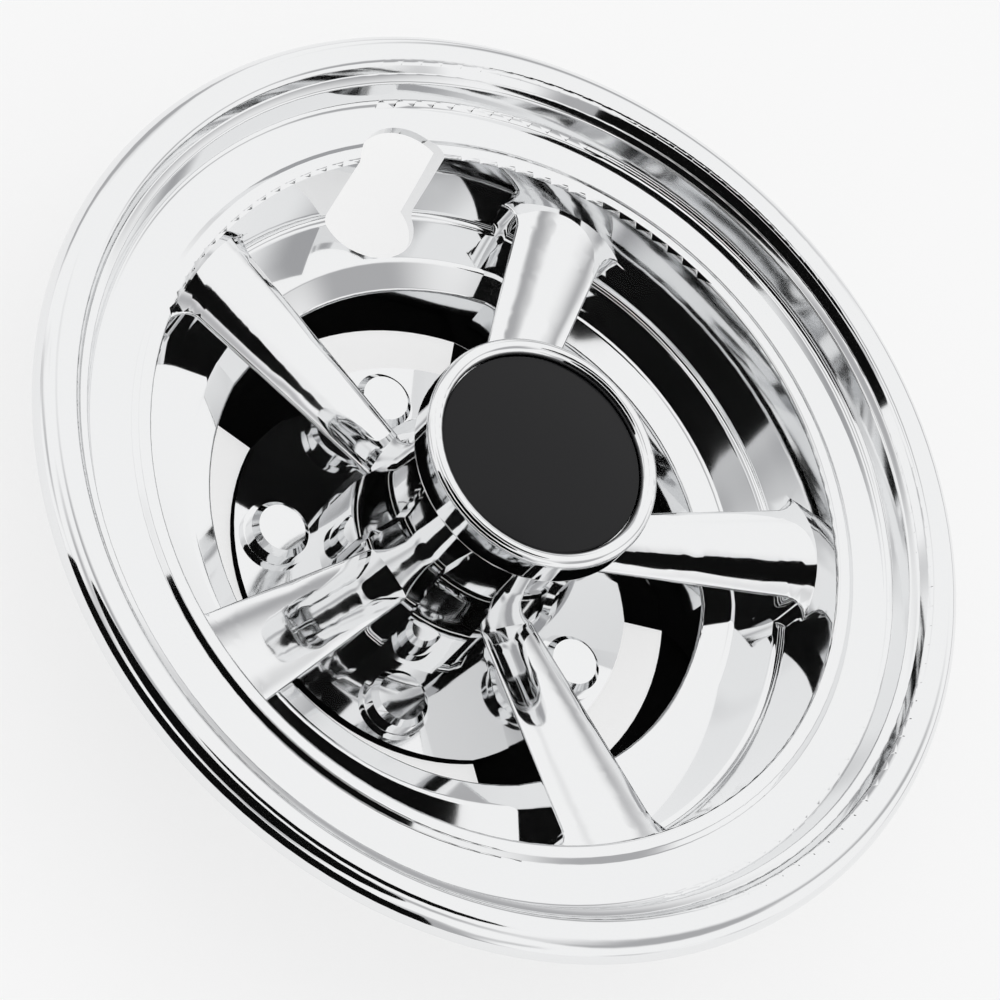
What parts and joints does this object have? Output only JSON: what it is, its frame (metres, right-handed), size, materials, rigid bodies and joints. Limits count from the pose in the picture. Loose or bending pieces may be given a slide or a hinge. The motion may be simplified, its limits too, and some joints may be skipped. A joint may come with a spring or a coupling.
{
  "type": "golf cart wheel cover",
  "caption": "Round chrome wheel cover with a rolled rim, deep dish, crowned spokes, dummy lug nuts, a valve hole and a domed black centre disc; snaps onto a small wheel with spring clips.",
  "frame": {"origin": "on the wheel axis at the back of the lug plate, which the cover rests on when it lies face up", "axes": "+Z along the wheel axis out of the face; +Y through the middle of the bay that holds the valve hole"},
  "size_m": [0.24, 0.24, 0.065],
  "materials": {
    "chrome_plate": "bright chrome plating over moulded ABS",
    "black_disc": "glossy black domed resin",
    "spring_steel": "plain spring steel strip"
  },
  "bodies": {
    "root": {"wheel_cover": "chrome_plate", "centre_disc": "black_disc", "clip_1": "spring_steel", "clip_2": "spring_steel", "clip_3": "spring_steel", "clip_4": "spring_steel", "clip_5": "spring_steel"}
  },
  "joints": []
}
